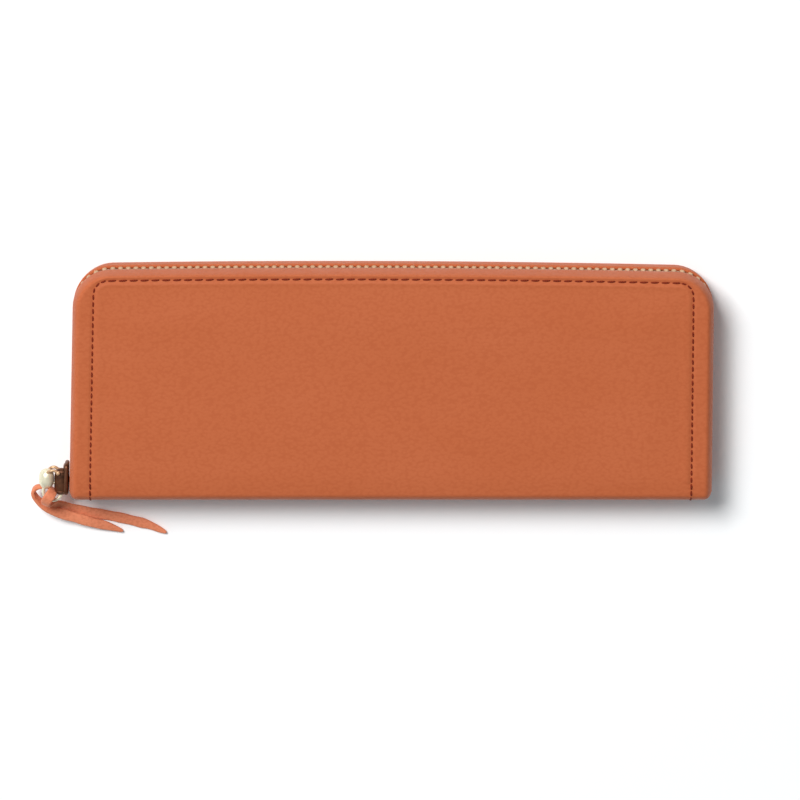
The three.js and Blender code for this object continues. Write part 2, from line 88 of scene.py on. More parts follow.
def settle(points):
    """Straight millimetres to the frame.

    The left end leans in, the zip edge bows and the front face droops towards the spine.
    """
    p = np.array(points, float)
    rise = (p[:, 1] + HALF_Y) / (2 * HALF_Y)
    x = p[:, 0] + LEAN * rise * (HALF_X - p[:, 0]) / (2 * HALF_X)
    reach = np.clip((p[:, 0] - BOW_AT) / HALF_X, -1.2, 1.2)
    y = p[:, 1] - BOW * reach**2 * np.clip(rise, 0, 1)
    near_spine = np.clip((DROOP_LONG - HALF_Y - p[:, 1]) / DROOP_LONG, 0, 1)
    near_face = np.clip((p[:, 2] - DROOP_FROM) / (THICK - DROOP_FROM), 0, 1)
    z = p[:, 2] - DROOP * near_spine**2 * near_face
    return np.stack([x, y, z], axis=1) * MM


# --- Mesh helpers ------------------------------------------------------------


def add_mesh(name, pile, material):
    """An object from a pile of mesh. Its textures follow the rest attribute, so they never swim."""
    mesh = bpy.data.meshes.new(name)
    mesh.from_pydata([tuple(p) for p in settle(pile.verts)], [], pile.faces)
    mesh.validate()
    tidy = bmesh.new()
    tidy.from_mesh(mesh)
    bmesh.ops.remove_doubles(tidy, verts=tidy.verts, dist=1e-6)
    bmesh.ops.dissolve_degenerate(tidy, edges=tidy.edges, dist=1e-7)
    bmesh.ops.recalc_face_normals(tidy, faces=tidy.faces)
    tidy.to_mesh(mesh)
    tidy.free()
    mesh.polygons.foreach_set("use_smooth", [True] * len(mesh.polygons))
    mesh.materials.append(material)
    obj = bpy.data.objects.new(name, mesh)
    bpy.context.scene.collection.objects.link(obj)
    remember_rest(obj)
    return obj


def add_piece(name, pile, material, slot, body, *nodes):
    """An object in its material that rides on one body and stands for these CAD nodes. The slot argument is
    not used.
    """
    obj = add_mesh(name, pile, material)
    if nodes:
        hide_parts(*nodes)
    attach(obj, body)


def vertex_places(mesh):
    co = np.zeros(len(mesh.vertices) * 3, np.float32)
    mesh.vertices.foreach_get("co", co)
    return co


def remember_rest(obj):
    mesh = obj.data
    rest = mesh.attributes.get("rest") or mesh.attributes.new("rest", "FLOAT_VECTOR", "POINT")
    rest.data.foreach_set("vector", vertex_places(mesh))


def spread_rest(obj, middle, factor):
    """Spreads a folded sheet's texture across its fold, as the cloth lies when it is drawn out."""
    place = vertex_places(obj.data).reshape(-1, 3)
    flat = np.column_stack([(place[:, 2] - middle) * factor, place[:, 1], np.zeros(len(place))])
    obj.data.attributes["rest"].data.foreach_set("vector", flat.astype(np.float32).ravel())


def thicken(obj, depth):
    """Gives a sheet its thickness in millimetres, inwards, and applies it."""
    thick = obj.modifiers.new("thickness", "SOLIDIFY")
    thick.thickness = depth * MM
    thick.offset = -1
    bpy.context.view_layer.update()
    depsgraph = bpy.context.evaluated_depsgraph_get()
    mesh = bpy.data.meshes.new_from_object(obj.evaluated_get(depsgraph), depsgraph=depsgraph)
    obj.modifiers.clear()
    obj.data = mesh
    remember_rest(obj)


def ring_faces(rings, count):
    """Quads between closed rings of points that follow each other."""
    faces = []
    for r in range(rings - 1):
        for i in range(count):
            j = (i + 1) % count
            faces.append((r * count + i, r * count + j, (r + 1) * count + j, (r + 1) * count + i))
    return faces


class Pile:
    """Collects many small pieces of mesh into one."""

    def __init__(self):
        self.verts = []
        self.faces = []

    def add(self, verts, faces):
        base = len(self.verts)
        self.verts.extend(verts)
        self.faces.extend(tuple(base + i for i in f) for f in faces)

    def rings(self, rings, caps=True):
        """A closed skin through rings of the same number of points."""
        count = len(rings[0])
        flat = [p for ring in rings for p in ring]
        faces = ring_faces(len(rings), count)
        if caps:
            faces.append(tuple(range(count))[::-1])
            faces.append(tuple(range(len(flat) - count, len(flat))))
        self.add(flat, faces)


def turns(number):
    """Angles of evenly spaced points round a circle."""
    return [2 * math.pi * i / number for i in range(number)]


def rounded_rect(half_a, half_b, radius, steps=3):
    """Points round a rounded rectangle, counter-clockwise."""
    points = []
    for k, (sx, sy) in enumerate(((1, 1), (-1, 1), (-1, -1), (1, -1))):
        for s in range(steps + 1):
            angle = (k + s / steps) * math.pi / 2
            a = sx * (half_a - radius) + radius * math.cos(angle)
            b = sy * (half_b - radius) + radius * math.sin(angle)
            points.append((a, b))
    return points


# --- Materials ---------------------------------------------------------------


class Nodes:
    """A short way to write a node tree."""

    def __init__(self, name, on_cad=False):
        self.material = bpy.data.materials.new(name)
        self.material.use_nodes = True
        self.tree = self.material.node_tree
        self.tree.nodes.clear()
        self.shader = self.tree.nodes.new("ShaderNodeBsdfPrincipled")
        output = self.tree.nodes.new("ShaderNodeOutputMaterial")
        self.tree.links.new(self.shader.outputs[0], output.inputs[0])
        if on_cad:
            self.place = self.tree.nodes.new("ShaderNodeTexCoord").outputs["Object"]
        else:
            rest = self.tree.nodes.new("ShaderNodeAttribute")
            rest.attribute_name = "rest"
            self.place = rest.outputs["Vector"]

    def put(self, socket, value):
        if isinstance(value, bpy.types.NodeSocket):
            self.tree.links.new(value, socket)
        else:
            socket.default_value = value

    def add(self, kind, out=0, settings=(), **inputs):
        node = self.tree.nodes.new(kind)
        for key, value in settings:
            setattr(node, key, value)
        for key, value in inputs.items():
            self.put(node.inputs[key.replace("_", " ")], value)
        return node.outputs[out]

    def mapped(self, scale):
        return self.add("ShaderNodeMapping", Vector=self.place, Scale=scale)

    def noise(self, scale, detail, vector=None):
        return self.add("ShaderNodeTexNoise", Vector=vector or self.place, Scale=scale, Detail=detail)

    def math(self, operation, a, b):
        node = self.tree.nodes.new("ShaderNodeMath")
        node.operation = operation
        self.put(node.inputs[0], a)
        self.put(node.inputs[1], b)
        return node.outputs[0]

    def span(self, value, low, high, to_low, to_high):
        node = self.tree.nodes.new("ShaderNodeMapRange")
        for key, number in zip(range(1, 5), (low, high, to_low, to_high)):
            node.inputs[key].default_value = number
        self.put(node.inputs[0], value)
        return node.outputs[0]

    def mix(self, factor, a, b):
        node = self.tree.nodes.new("ShaderNodeMix")
        node.data_type = "RGBA"
        self.put(node.inputs[0], factor)
        self.put(node.inputs[6], a)
        self.put(node.inputs[7], b)
        return node.outputs[2]

    def bump(self, height, strength, distance):
        node = self.tree.nodes.new("ShaderNodeBump")
        node.inputs["Strength"].default_value = strength
        node.inputs["Distance"].default_value = distance
        self.put(node.inputs["Height"], height)
        return node.outputs[0]

    def finish(self, color, roughness, normal=None, **sockets):
        self.put(self.shader.inputs["Base Color"], color)
        self.put(self.shader.inputs["Roughness"], roughness)
        if normal is not None:
            self.put(self.shader.inputs["Normal"], normal)
        for key, value in sockets.items():
            self.shader.inputs[key.replace("_", " ")].default_value = value
        return self.material


def rgb(r, g, b):
    return (r, g, b, 1.0)


def leather(name, base, dark, light, grain, depth, sheen=0.03):
    """Pebbled leather: rounded pebbles with creases between them, mottled colour, a painted highlight on
    convex edges.
    """
    n = Nodes(name)
    wander = n.noise(900 * grain, 2.0)
    stretch = n.mapped((0.70, 1.0, 1.0))
    bent = n.add("ShaderNodeVectorMath", settings=[("operation", "MULTIPLY_ADD")])
    node = bent.node
    n.put(node.inputs[0], n.add("ShaderNodeTexNoise", 1, Vector=n.place, Scale=500 * grain, Detail=1.0))
    node.inputs[1].default_value = (0.0005, 0.0005, 0.0005)
    n.put(node.inputs[2], stretch)
    cells, small = (
        n.add("ShaderNodeTexVoronoi", settings=[("feature", feature)], Vector=bent, Scale=scale * grain)
        for feature, scale in (("SMOOTH_F1", 1150), ("F1", 2600))
    )
    pebble = n.span(cells, 0.0, 0.75, 1.0, 0.0)
    height = n.math("ADD", pebble, n.math("MULTIPLY", small, -0.25))
    height = n.math("ADD", height, n.math("MULTIPLY", wander, 0.5))
    mottle = n.span(n.noise(1.0, 3.0, n.mapped((24, 70, 70))), 0.3, 0.7, 0.15, 0.7)
    color = n.mix(mottle, base, light)
    crease = n.span(pebble, 0.15, 0.55, 0.35, 0.0)
    color = n.mix(crease, color, dark)
    # Painted highlight: convex edges are mixed towards the lighter tone, standing in for the light they
    # catch.
    edge = n.add("ShaderNodeNewGeometry", 7)
    edge_highlight = n.span(edge, 0.5, 0.62, 0.0, 0.35)
    color = n.mix(edge_highlight, color, light)
    rough = n.span(n.noise(160, 3.0), 0.3, 0.7, 0.5, 0.62)
    normal = n.bump(height, 0.5 * depth, 0.00012)
    return n.finish(color, rough, normal, Specular_IOR_Level=0.12, Sheen_Weight=sheen, Sheen_Roughness=0.4)


def cloth(name, base, dark, scale):
    """Plain weave: warp and weft threads in relief."""
    n = Nodes(name)
    across, along, depthwise = (
        n.add("ShaderNodeTexWave", settings=[("bands_direction", axis)], Vector=n.place, Scale=scale / 3)
        for axis in "XYZ"
    )
    weave = n.math("MULTIPLY", n.math("ADD", along, depthwise), across)
    fuzz = n.noise(scale * 2, 2.0)
    color = n.mix(n.span(weave, 0.0, 1.2, 0.0, 1.0), dark, base)
    color = n.mix(n.span(n.noise(60, 2.0), 0.35, 0.65, 0.0, 0.25), color, dark)
    normal = n.bump(n.math("ADD", weave, n.math("MULTIPLY", fuzz, 0.4)), 0.6, 0.00015)
    return n.finish(color, 0.85, normal, Sheen_Weight=0.2, Sheen_Roughness=0.5)


def metal(name, base, dark, rough, age, metallic):
    """Cast and plated metal: tarnish in patches, fine scratches, brighter worn edges."""
    n = Nodes(name)
    patches = n.span(n.noise(420, 4.0), 0.42, 0.68, 0.0, age)
    color = n.mix(patches, base, dark)
    edge = n.span(n.add("ShaderNodeNewGeometry", 7), 0.5, 0.6, 0.0, 0.7)
    color = n.mix(edge, color, base)
    scratches = n.noise(1.0, 3.0, n.mapped((900, 9000, 9000)))
    roughness = n.span(n.noise(700, 3.0), 0.3, 0.7, rough * 0.8, rough * 1.35)
    height = n.math("ADD", n.math("MULTIPLY", scratches, 0.3), n.noise(1500, 2.0))
    normal = n.bump(height, 0.12, 0.00005)
    return n.finish(color, roughness, normal, Metallic=metallic)


def thread(name, base, dark):
    """Waxed thread: two plies twisted."""
    n = Nodes(name)
    diagonal = [("bands_direction", "DIAGONAL")]
    plies = n.add("ShaderNodeTexWave", settings=diagonal, Vector=n.place, Scale=900.0, Distortion=1.0)
    color = n.mix(n.span(plies, 0.2, 0.8, 0.0, 1.0), dark, base)
    normal = n.bump(plies, 0.5, 0.0001)
    return n.finish(color, 0.8, normal, Specular_IOR_Level=0.2)


def board_paper(name):
    n = Nodes(name, on_cad=True)
    fibres = n.noise(1.0, 5.0, n.mapped((400, 2600, 2600)))
    color = n.mix(fibres, rgb(0.42, 0.33, 0.21), rgb(0.66, 0.55, 0.38))
    return n.finish(color, 0.9, n.bump(fibres, 0.3, 0.0001))


LEATHER = leather(
    "cover_leather", rgb(0.515, 0.1245, 0.0435), rgb(0.44, 0.0935, 0.031), rgb(0.545, 0.140, 0.054), 1.1, 0.55
)
# Painted light: the lace's leather is a lighter copy of the cover leather, standing in for the light its
# tilted strands catch.
LIT_THONG_LEATHER = leather(
    "thong_leather", rgb(0.72, 0.225, 0.110), rgb(0.48, 0.115, 0.046), rgb(0.80, 0.28, 0.15), 1.6, 0.6
)
CARD_LEATHER = leather(
    "card_leather", rgb(0.50, 0.135, 0.058), rgb(0.33, 0.07, 0.028), rgb(0.56, 0.165, 0.075), 1.3, 0.5, 0.0
)
LINING = cloth("lining_twill", rgb(0.42, 0.22, 0.11), rgb(0.27, 0.13, 0.06), 5200)
# Partly painted light: the tape's own peach tone, made lighter so that the zip gap, which lies in shade,
# reads bright.
LIGHTENED_TAPE = cloth("zip_tape_weave", rgb(0.86, 0.50, 0.33), rgb(0.66, 0.33, 0.20), 1500)
THREAD = thread("seam_thread", rgb(0.27, 0.032, 0.009), rgb(0.13, 0.012, 0.004))
BRASS = metal("zip_brass", rgb(0.66, 0.42, 0.24), rgb(0.42, 0.25, 0.12), 0.40, 0.35, 0.55)
BRONZE = metal("antique_slider", rgb(0.17, 0.066, 0.032), rgb(0.035, 0.016, 0.010), 0.38, 0.8, 0.8)
GOLD = metal("pale_gold", rgb(0.88, 0.82, 0.61), rgb(0.62, 0.50, 0.30), 0.34, 0.25, 0.45)
BOARD = board_paper("stiffening_board")

# --- Camera, floor and light -------------------------------------------------

CAMERA_TILT = math.radians(13)
CAMERA_LENS = 280
CAMERA_AWAY = 2.007
CAMERA_AIM = Vector((0.0031, -0.0052, 0.015))
FLOOR_HALF = 3.0
# Each lamp's name, place, size and power.
LAMPS = (
    ("key", (-1.55, 2.14, 4.07), 1.75, 229.0),
    ("fill", (0.9, -1.2, 2.2), 2.0, 1.0),
    ("rim", (-2.2, -0.3, 0.8), 1.0, 2.0),
)


def stage():
    camera_data = bpy.data.cameras.new("camera")
    camera_data.lens = CAMERA_LENS
    camera_data.sensor_width = 36
    camera = bpy.data.objects.new("camera", camera_data)
    bpy.context.scene.collection.objects.link(camera)
    back = Vector((0, math.sin(CAMERA_TILT), math.cos(CAMERA_TILT)))
    up = Vector((0, math.cos(CAMERA_TILT), -math.sin(CAMERA_TILT)))
    right = up.cross(back)
    turn = Matrix((right, up, back)).transposed().to_4x4()
    camera.matrix_world = Matrix.Translation(CAMERA_AIM + back * CAMERA_AWAY) @ turn
    bpy.context.scene.camera = camera

    mesh = bpy.data.meshes.new("floor")
    corners = [(x * FLOOR_HALF, y * FLOOR_HALF, 0) for x, y in ((-1, -1), (1, -1), (1, 1), (-1, 1))]
    mesh.from_pydata(corners, [], [(0, 1, 2, 3)])
    n = Nodes("floor_white")
    mesh.materials.append(n.finish(rgb(1.0, 1.0, 1.0), 0.9, Specular_IOR_Level=0.0))
    floor = bpy.data.objects.new("floor", mesh)
    bpy.context.scene.collection.objects.link(floor)

    for lamp in LAMPS:
        area_light(*lamp)
    world = bpy.data.worlds.new("studio")
    world.use_nodes = True
    background = world.node_tree.nodes["Background"]
    background.inputs[0].default_value = (0.90, 1.02, 1.08, 1)
    background.inputs[1].default_value = 0.25
    bpy.context.scene.world = world
    bpy.context.scene.view_settings.view_transform = "Standard"


def area_light(name, place, size, power):
    data = bpy.data.lights.new(name, "AREA")
    data.size = size
    data.energy = power
    lamp = bpy.data.objects.new(name, data)
    bpy.context.scene.collection.objects.link(lamp)
    lamp.location = place
    lamp.rotation_euler = (-Vector(place)).to_track_quat("-Z", "Y").to_euler()


# --- Outer leather -----------------------------------------------------------

ROWS_FOOT = 4
ROWS_GAP = 9
ROWS_SIDE = 30
CORNER_HALF = 6
COLUMNS = 132
ROWS = ROWS_FOOT + ROWS_GAP + ROWS_SIDE + CORNER_HALF


def outline(side, top, spine):
    """One ring round a cover at three insets: left side up, top, right side down, spine back."""
    x = HALF_X - side
    high = HALF_Y - top
    low = spine - HALF_Y
    big = max(TOP_CORNER - (side + top) / 2, 1.5)
    small = max(LOW_CORNER - (side + spine) / 2, 1.0)

    def arc(cx, cy, radius, start, stop, steps):
        angles = np.radians(np.linspace(start, stop, steps + 1))
        return [(cx + radius * math.cos(a), cy + radius * math.sin(a)) for a in angles]

    up = arc(-x + small, low + small, small, 225, 180, ROWS_FOOT)
    first = low + small
    last = high - big
    knee = first + (last - first) * 0.085
    up += [(-x, y) for y in np.linspace(first, knee, ROWS_GAP + 1)[1:]]
    up += [(-x, y) for y in np.linspace(knee, last, ROWS_SIDE + 1)[1:]]
    up += arc(-x + big, high - big, big, 180, 135, CORNER_HALF)[1:]
    over = arc(-x + big, high - big, big, 135, 90, CORNER_HALF)
    run = COLUMNS - 2 * CORNER_HALF
    over += [(px, high) for px in np.linspace(-x + big, x - big, run + 1)[1:]]
    over += arc(x - big, high - big, big, 90, 45, CORNER_HALF)[1:]
    down = [(-px, py) for px, py in up[::-1]]
    back = arc(x - small, low + small, small, -45, -90, CORNER_HALF)
    back += [(px, low) for px in np.linspace(x - small, -x + small, run + 1)[1:]]
    back += arc(-x + small, low + small, small, 270, 225, CORNER_HALF)[1:]
    return np.array(up[:-1] + over[:-1] + down[:-1] + back[:-1])


def seam_distance(x, y):
    """Distance inside the seam, positive towards the middle of the cover."""
    qx = np.abs(x) - (SEAM_X - SEAM_CORNER)
    qy = y - (SEAM_Y - SEAM_CORNER)
    outside = np.hypot(np.maximum(qx, 0), np.maximum(qy, 0))
    return SEAM_CORNER - outside - np.minimum(np.maximum(qx, qy), 0)


def smooth(t):
    t = np.clip(t, 0, 1)
    return t * t * (3 - 2 * t)


def face_relief(x, y, crown):
    """Height added to a cover's flat face: the sewn channel, the ridge inside it and the soft middle."""
    inside = seam_distance(x, y)
    channel = -0.5 * np.exp(-((inside / 0.62) ** 2))
    ridge = 0.15 * np.exp(-(((inside - 1.35) / 0.65) ** 2))
    band = -0.18 * smooth(-inside / 1.5)
    middle = crown * smooth(inside / 16) * smooth((y + HALF_Y - 4) / 22)
    return channel + ridge + band + middle


def gap_rise(points):
    """How far the leather's edge stands off the middle plane at each point of the outer ring."""
    x, y = points[:, 0], points[:, 1]
    centre = SPINE_BAND - HALF_Y + GAP_HALF
    below = np.clip((centre - y) / GAP_HALF, 0, 1)
    return GAP_HALF * np.sqrt(1 - below**2)


def cover_rings(crown):
    """Rings of points for one cover, from the zip edge up the roll and in over the face."""
    outer = outline(0, 0, 0)
    rise = gap_rise(outer)
    share = rise / GAP_HALF
    rings = []
    for tuck, lift in ((1.25, 0.75), (1.15, 0.3), (0.8, 0.0), (0.35, -0.1), (0.08, -0.02)):
        ring = outer + (outline(tuck, tuck, 0) - outer) * share[:, None]
        rings.append(np.column_stack([ring, MID + rise + lift * share]))
    for k in range(15):
        angle = k / 14 * math.pi / 2
        depth = 1 - math.cos(angle)
        ring = outline(SIDE_ROLL * depth, TOP_ROLL * depth, SPINE_ROLL * depth)
        z = MID + rise + (MID - rise) * math.sin(angle)
        z = z + face_relief(ring[:, 0], ring[:, 1], crown) * smooth((depth - 0.5) * 2)
        rings.append(np.column_stack([ring, z]))
    for step in (0.45, 0.9, 1.35, 1.8, 2.25, 2.7, 3.15, 3.6, 4.1, 4.8, 5.8, 7.2, 9.2, 12):
        ring = outline(SIDE_ROLL + step, TOP_ROLL + step, SPINE_ROLL + step)
        z = THICK + face_relief(ring[:, 0], ring[:, 1], crown)
        rings.append(np.column_stack([ring, z]))
    return rings


def coons(ring):
    """Fills the last ring with a grid that its four sides carry inwards."""
    left = ring[: ROWS + 1]
    top = ring[ROWS : ROWS + COLUMNS + 1]
    right = ring[ROWS + COLUMNS : 2 * ROWS + COLUMNS + 1][::-1]
    low = np.vstack([ring[2 * ROWS + COLUMNS :], ring[:1]])[::-1]
    u = np.linspace(0, 1, COLUMNS + 1)[None, :, None]
    v = np.linspace(0, 1, ROWS + 1)[:, None, None]
    sides = (1 - u) * left[:, None, :] + u * right[:, None, :]
    ends = (1 - v) * low[None] + v * top[None]
    corners = (1 - u) * (1 - v) * low[0] + u * (1 - v) * low[-1] + (1 - u) * v * top[0] + u * v * top[-1]
    return (sides + ends - corners).reshape(-1, 3)


def add_half(pile, rings, flat, face):
    """One cover's half of a sheet: its rings and the grid inside them, turned over for the back."""
    verts = np.vstack(rings + [flat])
    if face < 0:
        verts[:, 2] = THICK - verts[:, 2]
    count = len(rings[0])
    base = count * len(rings)
    wide = COLUMNS + 1
    corners = [base + j * wide + i for j in range(ROWS) for i in range(COLUMNS)]
    grid = [(a, a + 1, a + 1 + wide, a + wide) for a in corners]
    pile.add(verts, ring_faces(len(rings), count) + grid)


def cover_skin(pile, crown, face):
    rings = cover_rings(crown)
    flat = coons(rings[-1])
    flat[:, 2] = THICK + face_relief(flat[:, 0], flat[:, 1], crown)
    add_half(pile, rings, flat, face)


LEATHER_THICK = 0.7
FRONT_CROWN = 0.55


def outer_leather():
    """One hide over both covers and the spine."""
    pile = Pile()
    cover_skin(pile, FRONT_CROWN, 1)
    cover_skin(pile, 0.0, -1)
    skin = add_mesh("outer_leather", pile, LEATHER)
    thicken(skin, LEATHER_THICK)
    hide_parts("front_cover", "back_cover")
    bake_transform(skin)


# --- Seam stitches -----------------------------------------------------------

# The sewn channel fades out nearer to the spine than this.
CHANNEL_END = 6.5


def spine_point(x, angle):
    """A point of the spine roll and its outward normal. The angle runs from the face at 90 down to -90."""
    y = SPINE_ROLL - HALF_Y - SPINE_ROLL * math.cos(angle)
    z = MID + MID * math.sin(angle)
    normal = np.array([0, -math.cos(angle) / SPINE_ROLL, math.sin(angle) / MID])
    return np.array([x, y, z]), normal / np.linalg.norm(normal)


def seam_route(x_side):
    """Points and normals down one end of the wallet: front face, round the spine, back face."""
    points = []
    corner_y = SEAM_Y - SEAM_CORNER
    for y in np.arange(corner_y, SPINE_ROLL - HALF_Y, -0.5):
        points.append((np.array([x_side, y, THICK]), np.array([0, 0, 1.0])))
    for angle in np.radians(np.arange(90, -91, -3)):
        points.append(spine_point(x_side, angle))
    for y in np.arange(SPINE_ROLL - HALF_Y, corner_y, 0.5):
        points.append((np.array([x_side, y, 0]), np.array([0, 0, -1.0])))
    return points


def corner_route(side, face):
    points = []
    for angle in np.radians(np.arange(0, 91, 3)):
        x = side * (SEAM_X - SEAM_CORNER + SEAM_CORNER * math.cos(angle))
        y = SEAM_Y - SEAM_CORNER + SEAM_CORNER * math.sin(angle)
        points.append((np.array([x, y, THICK if face > 0 else 0]), np.array([0, 0, float(face)])))
    return points


def top_route(face):
    z = THICK if face > 0 else 0
    normal = np.array([0, 0, float(face)])
    reach = SEAM_X - SEAM_CORNER
    return [(np.array([x, SEAM_Y, z]), normal) for x in np.arange(-reach, reach + 0.4, 0.5)]


def stitch(pile, a, b, normal, across, rng, size):
    """One stitch: a short length of thread that dives into the leather at both ends."""
    slant = across * rng.uniform(0.02, 0.10)
    rings = []
    for t in np.linspace(0, 1, 9):
        bulge = math.sin(math.pi * t)
        centre = a + (b - a) * t + normal * size * (0.34 * bulge**0.6 - 0.30) + slant * (t - 0.5) * 2
        half = size * (0.12 + 0.20 * bulge**0.5)
        rings.append([centre + half * (across * math.cos(s) + normal * 0.85 * math.sin(s)) for s in turns(8)])
    pile.rings(rings)


def stitch_route(pile, route, pitch, fill, rng, size=1.0):
    points = np.array([p for p, _ in route])
    normals = np.array([m for _, m in route])
    steps = np.linalg.norm(np.diff(points, axis=0), axis=1)
    at = np.concatenate([[0], np.cumsum(steps)])
    number = round(at[-1] / pitch)
    pitch = at[-1] / number
    for k in range(number):
        ends = []
        for s in ((k + 0.5 - fill / 2) * pitch, (k + 0.5 + fill / 2) * pitch):
            ends.append(np.array([np.interp(s, at, points[:, c]) for c in range(3)]))
        normal = np.array([np.interp((k + 0.5) * pitch, at, normals[:, c]) for c in range(3)])
        normal = normal / np.linalg.norm(normal)
        across = np.cross(normal, ends[1] - ends[0])
        stitch(pile, ends[0], ends[1], normal, across / np.linalg.norm(across), rng, size)


def seam_stitches():
    rng = random.Random(7)
    pile = Pile()
    for side in (-1, 1):
        stitch_route(pile, seam_route(side * SEAM_X), 2.33, 0.84, rng)
        for face in (-1, 1):
            stitch_route(pile, corner_route(side, face), 2.2, 0.84, rng)
    for face in (-1, 1):
        stitch_route(pile, top_route(face), 3.5, 0.84, rng)
    verts = np.array(pile.verts)
    inside = seam_distance(verts[:, 0], verts[:, 1])
    sunk = 0.34 * np.exp(-((inside / 1.2) ** 2)) * smooth((verts[:, 1] + HALF_Y - CHANNEL_END) / 2)
    verts[:, 2] += np.where(verts[:, 2] > MID, -sunk, sunk)
    pile.verts = verts
    stitches = add_mesh("seam_stitches", pile, THREAD)
    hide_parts("front_seam_thread", "back_seam_thread")
    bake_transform(stitches)


# --- Zip ---------------------------------------------------------------------


ZIP_LOW = -35.2
ZIP_LEFT_FRONT = -31.0
ZIP_RIGHT = -30.6
BEND = (TOP_CORNER - 2.2) * math.pi / 2


def u_place(inset, s):
    """A point on the U the zip follows, s along it from the left start, and the way out."""
    radius = TOP_CORNER - inset
    corner_x = HALF_X - TOP_CORNER
    corner_y = HALF_Y - TOP_CORNER
    left = corner_y - ZIP_LOW
    top = 2 * corner_x
    if s < left:
        return np.array([-corner_x - radius, ZIP_LOW + s]), np.array([-1.0, 0.0])
    s -= left
    if s < BEND:
        angle = math.pi - s / BEND * math.pi / 2
        out = np.array([math.cos(angle), math.sin(angle)])
        return np.array([-corner_x, corner_y]) + radius * out, out
    s -= BEND
    if s < top:
        return np.array([-corner_x + s, corner_y + radius]), np.array([0.0, 1.0])
    s -= top
    if s < BEND:
        angle = math.pi / 2 - s / BEND * math.pi / 2
        out = np.array([math.cos(angle), math.sin(angle)])
        return np.array([corner_x, corner_y]) + radius * out, out
    return np.array([corner_x + radius, corner_y - (s - BEND)]), np.array([1.0, 0.0])


ZIP_LENGTH = 2 * (HALF_Y + HALF_X - 2 * TOP_CORNER + BEND) - ZIP_LOW - ZIP_RIGHT
PITCH = 2.5
END_CLEAR = 1.2
TOOTH_INSET = 1.6
# The bead of the tape and its flat part: insets from the edge, heights from the middle, corner.
BEAD = (1.15, 2.9, 0.95, 2.75, 0.4)
FLAT = (1.9, 2.5, 2.6, 5.6, 0.2)


def tooth(pile, s, face):
    """One cast tooth: a clamp over the bead, a neck and a head that crosses the middle."""
    place, out = u_place(TOOTH_INSET, s)
    along = np.array([out[1], -out[0]])
    profile = (
        (2.85, 0.62, 1.0),
        (2.7, 0.82, 1.25),
        (1.75, 0.86, 1.28),
        (1.45, 0.58, 1.1),
        (0.3, 0.55, 1.02),
        (-0.5, 0.57, 1.0),
        (-0.78, 0.40, 0.75),
    )
    rings = []
    for height, half_long, half_deep in profile:
        ring = []
        for a, b in rounded_rect(half_long, half_deep, min(half_long, half_deep) * 0.45, 1):
            xy = place + along * a + out * b
            ring.append((xy[0], xy[1], MID + face * height))
        rings.append(ring if face < 0 else ring[::-1])
    pile.rings(rings)


def zip_row(face, first):
    """The teeth of one row, from just past its start."""
    pile = Pile()
    offset = END_CLEAR if face > 0 else END_CLEAR + PITCH / 2
    for k in range(int(ZIP_LENGTH / PITCH)):
        s = offset + k * PITCH
        if first + END_CLEAR <= s < ZIP_LENGTH - END_CLEAR / 2:
            tooth(pile, s, face)
    return pile


def zip_band(face, first, outer, inner, near, deep, radius):
    """A strip of rounded section that follows the zip's U."""
    pile = Pile()
    rings = []
    for s in np.append(np.arange(first, ZIP_LENGTH, 1.5), ZIP_LENGTH):
        place, out = u_place((outer + inner) / 2, s)
        section = rounded_rect((inner - outer) / 2, (deep - near) / 2, radius, 2)
        ring = []
        for a, b in section:
            xy = place + out * a
            ring.append((xy[0], xy[1], MID + face * ((near + deep) / 2 + b)))
        rings.append(ring)
    pile.rings(rings)
    return pile


def zip_pair():
    sides = ((1, "front", "front", ZIP_LEFT_FRONT - ZIP_LOW), (-1, "root", "back", 0.0))
    for face, body, word, first in sides:
        teeth = f"zip_teeth_{word}"
        tape = f"zip_tape_{word}"
        add_piece(teeth + "_row", zip_row(face, first), BRASS, "zip_metal", body, teeth)
        add_piece(teeth + "_row_bead", zip_band(face, first, *BEAD), LIGHTENED_TAPE, "zip_tape", body)
        band = zip_band(face, max(first, 2 * END_CLEAR), *FLAT)
        add_piece(tape + "_weave", band, LIGHTENED_TAPE, "zip_tape", body, tape)


# --- Stops, slider, pull and thong -------------------------------------------


def soft_block(pile, xs, ys, zs, radius, steps=3):
    """A block with every edge rounded, of rings stacked along Z. Heights count from the middle."""
    z0, z1 = MID + min(zs), MID + max(zs)
    half_x, half_y = (xs[1] - xs[0]) / 2, (ys[1] - ys[0]) / 2
    rings = []
    for k in range(2 * steps + 2):
        lower = k <= steps
        turn = (k if lower else 2 * steps + 1 - k) / steps * math.pi / 2
        tuck = radius * (1 - math.sin(turn))
        rise = radius * (1 - math.cos(turn))
        z = z0 + rise if lower else z1 - rise
        section = rounded_rect(half_x - tuck, half_y - tuck, max(radius - tuck, radius * 0.25), steps)
        rings.append([(xs[0] + half_x + a, ys[0] + half_y + b, z) for a, b in section])
    pile.rings(rings)


TOP_STOP_LONG = 1.1
BOTTOM_STOP_LONG = 2.6


